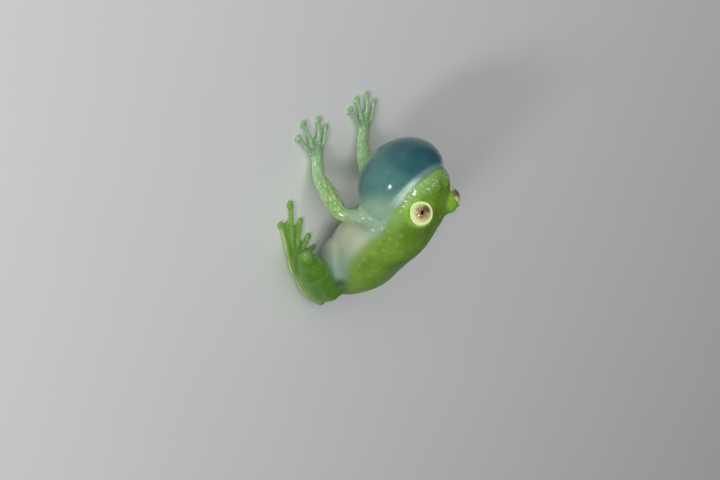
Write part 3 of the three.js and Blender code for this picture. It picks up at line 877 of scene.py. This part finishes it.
def skin_finish():
    """The frog's whole skin, wettest on its sac and limbs."""
    material, tree = recipe("wet frog skin")
    made = skin_patterns(tree)
    smooth = mask(tree, "sac")
    limb = most(tree, mask(tree, "arm"), times(tree, mask(tree, "leg"), WET["leg"]))
    rough = {"Value": smooth, "To Min": WET["rough"], "To Max": WET["sac_rough"]}
    rough = add(tree, "ShaderNodeMapRange", rough).outputs[0]
    coat = most(tree, times(tree, smooth, WET["sac"]), times(tree, limb, WET["limb"]))
    coat = most(tree, coat, times(tree, mask(tree, "glints"), WET["glints"]))
    finish(tree, {
        "Base Color": skin_colour(tree, made), "Normal": skin_relief(tree, made, smooth, limb),
        "Roughness": sums(tree, "ADD", rough, times(tree, made["fine"], WET["fine_rough"])),
        "Coat Weight": most(tree, coat, WET["least"]), **SKIN_SHADER})
    return material


# The eyes

IRIS_PALE, IRIS_GOLD, IRIS_NET = shade(236, 240, 172), shade(206, 190, 122), shade(90, 66, 36)
IRIS_BROWN, IRIS_SHADE, EYEBALL = shade(150, 108, 70), shade(66, 76, 44), shade(190, 200, 130)
PUPIL = (0.004, 0.004, 0.004, 1)

# The iris, in radii of the eyeball: pale with gold inside, brown round the lying pupil, with a brown net over
# it and a patch in shade
IRIS = {"flatter": 1.7, "gold": (0.8, 0.28), "brown": (0.66, 0.3), "brown_cover": 0.7, "pupil": (0.26, 0.2),
        "front": (0.15, 0.4)}
NET = {"scale": 6.5, "lines": (0.2, 0.02), "ends": (0.8, 0.45),
       "bend": 0.35, "bend_scale": 5.0, "bend_detail": 3}
PATCH = {"place": (0.56, -0.3), "fades": (0.56, 0.22), "ragged": 0.08, "cover": 0.8}
EYE_SHADER = {
    "Roughness": 0.3, "Coat Weight": 1.0, "Coat Roughness": 0.03,
    "Subsurface Weight": 0.1, "Subsurface Scale": 0.0003,
}
EYE_FACETS = {"u_segments": 64, "v_segments": 40}


def side_word(side):
    return "left" if side > 0 else "right"


def iris_colour(tree, flat, along, up, side):
    """The iris from the front, by the place on it along and up."""
    out = arrows(tree, "LENGTH", flat, out="Value")
    tall = add(tree, "ShaderNodeCombineXYZ", {"X": along, "Y": times(tree, up, IRIS["flatter"])}).outputs[0]
    slit = arrows(tree, "LENGTH", tall, out="Value")
    settings = {"Vector": flat, "Scale": NET["bend_scale"], "Detail": NET["bend_detail"]}
    wander = add(tree, "ShaderNodeTexNoise", settings).outputs["Color"]
    bent = arrows(tree, "MULTIPLY_ADD", wander, (NET["bend"],) * 3, flat)
    net = eased(tree, cells(tree, bent, NET["scale"], "DISTANCE_TO_EDGE"), *NET["lines"])
    colour = mixed(tree, eased(tree, out, *IRIS["gold"]), IRIS_PALE, IRIS_GOLD)
    colour = mixed(tree, times(tree, net, eased(tree, out, *NET["ends"])), colour, IRIS_NET)
    brown = times(tree, eased(tree, slit, *IRIS["brown"]), IRIS["brown_cover"])
    colour = mixed(tree, brown, colour, IRIS_BROWN)
    middle = (PATCH["place"][0], PATCH["place"][1] * side, 0)
    patch = arrows(tree, "DISTANCE", flat, middle, out="Value")
    patch = sums(tree, "ADD", patch, times(tree, net, PATCH["ragged"]))
    patch = times(tree, eased(tree, patch, *PATCH["fades"]), PATCH["cover"])
    colour = mixed(tree, patch, colour, IRIS_SHADE)
    return mixed(tree, eased(tree, slit, *IRIS["pupil"]), colour, PUPIL)


def eye_finish(side):
    """A pale gold iris netted with brown round a small lying pupil, under a wet gloss."""
    material, tree = recipe("eye " + side_word(side))
    coords = add(tree, "ShaderNodeTexCoord").outputs["Object"]
    aim, along = Vector(head_aim(GAZE, side)), Vector(head_aim((1, 0, 0)))
    along = (along - aim * along.dot(aim)).normalized()
    offset = arrows(tree, "SUBTRACT", coords, to_scene(on_head(EYE["place"], side)))
    scale = 1 / (EYE["radius"] * MM)
    along, up, ahead = [arrows(tree, "DOT_PRODUCT", offset, way * scale, out="Value")
                        for way in (along, aim.cross(along), aim)]
    flat = add(tree, "ShaderNodeCombineXYZ", {"X": along, "Y": up}).outputs[0]
    iris = iris_colour(tree, flat, along, up, side)
    finish(tree, {"Base Color": mixed(tree, eased(tree, ahead, *IRIS["front"]), EYEBALL, iris), **EYE_SHADER})
    return material


def build_eye(side):
    """An eyeball with its cornea standing a little proud."""
    form = bmesh.new()
    ball = bmesh.ops.create_uvsphere(form, radius=EYE["radius"] * MM, **EYE_FACETS)["verts"]
    for vert in ball:
        vert.co *= 1 + CORNEA["rise"] * ease(vert.co.z / (EYE["radius"] * MM), *CORNEA["fades"])
    aim = Vector(head_aim(GAZE, side))
    bmesh.ops.rotate(form, verts=ball, matrix=aim.to_track_quat("Z", "Y").to_matrix())
    bmesh.ops.translate(form, verts=ball, vec=to_scene(on_head(EYE["place"], side)))
    eye = new_piece("eyeball_" + side_word(side), form)
    eye.data.shade_smooth()
    eye.data.materials.append(eye_finish(side))
    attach(eye, "root")
    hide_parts("eye_" + side_word(side))


# Floor, lights and camera; the stage is in metres and watts, and its angles are degrees

FLOOR = {"half": 0.9, "squares": 8, "rough": 0.7, "low": shade(243, 244, 242), "high": shade(246, 247, 245)}
LAMPS = {
    "key": {"azimuth": 84, "height": 20, "away": 0.30, "size": 0.05, "watts": 0.28, "shines": True},
    "fill": {"azimuth": 52, "height": 28, "away": 0.50, "size": 0.30, "watts": 0.45, "shines": False},
    "overhead": {"azimuth": 40, "height": 52, "away": 0.60, "size": 0.80, "watts": 1.6, "shines": False},
}
LAMPS_LOOK_AT = (0, 0, 0.008)
ROOM = {"colour": (0.9, 0.95, 1.0, 1), "strength": 0.1}

# The camera looks at a place on the frog, in the frog's own millimetres, from so many millimetres away. The
# lens and the sensor are millimetres too, and it sees between these distances in metres
CAMERA = {"azimuth": 56.75, "height": 31.40, "roll": -112.82, "looks_at": (9.19, 1.98, 6.0), "away": 238,
          "lens": 100, "sensor": 36, "sees": (0.01, 10)}


def build_floor():
    form = bmesh.new()
    bmesh.ops.create_grid(form, x_segments=FLOOR["squares"], y_segments=FLOOR["squares"], size=FLOOR["half"])
    floor = new_piece("floor", form)
    material, tree = recipe("pale floor")
    place = add(tree, "ShaderNodeTexCoord").outputs["Object"]
    tone = mixed(tree, clouds(tree, place, "floor"), FLOOR["low"], FLOOR["high"])
    finish(tree, {"Base Color": tone, "Roughness": FLOOR["rough"]})
    floor.data.materials.append(material)


def outwards(azimuth, height):
    """A direction, one long, by its angle round from +X and its angle up; both in radians."""
    return cos(height) * cos(azimuth), cos(height) * sin(azimuth), sin(height)


def add_lamp(name, azimuth, height, away, size, watts, shines):
    lamp = bpy.data.lights.new(name, "AREA")
    lamp.shape, lamp.size, lamp.energy = "DISK", size, watts
    holder = bpy.data.objects.new(name, lamp)
    holder.visible_glossy = shines
    bpy.context.scene.collection.objects.link(holder)
    way = Vector(outwards(radians(azimuth), radians(height)))
    holder.location = Vector(LAMPS_LOOK_AT) + way * away
    holder.rotation_euler = way.to_track_quat("Z", "Y").to_euler()


def light_room():
    world = bpy.data.worlds.new("soft room")
    bpy.context.scene.world = world
    world.use_nodes = True
    background = world.node_tree.nodes["Background"]
    background.inputs[0].default_value = ROOM["colour"]
    background.inputs[1].default_value = ROOM["strength"]
    bpy.context.scene.view_settings.view_transform = "Standard"


def add_camera():
    azimuth, height, roll = (radians(CAMERA[key]) for key in ("azimuth", "height", "roll"))
    away = np.array(outwards(azimuth, height))
    level = np.array([-sin(azimuth), cos(azimuth), 0])
    upright = np.cross(away, level)
    right = cos(roll) * level - sin(roll) * upright
    up = sin(roll) * level + cos(roll) * upright
    camera = bpy.data.cameras.new("camera")
    camera.lens, camera.sensor_width, camera.sensor_fit = CAMERA["lens"], CAMERA["sensor"], "HORIZONTAL"
    camera.clip_start, camera.clip_end = CAMERA["sees"]
    holder = bpy.data.objects.new("camera", camera)
    bpy.context.scene.collection.objects.link(holder)
    where = to_scene(np.array(CAMERA["looks_at"]) + away * CAMERA["away"])
    turn = Matrix([list(right), list(up), list(away)]).transposed().to_4x4()
    holder.matrix_world = Matrix.Translation(where) @ turn
    bpy.context.scene.camera = holder


skin, owners = build_skin()
mark_skin(skin, owners)
skin.data.materials.append(skin_finish())
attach(skin, "root")
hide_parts(*flesh())
for side in (1, -1):
    build_eye(side)
build_floor()
for name, lamp in LAMPS.items():
    add_lamp(name, **lamp)
light_room()
add_camera()
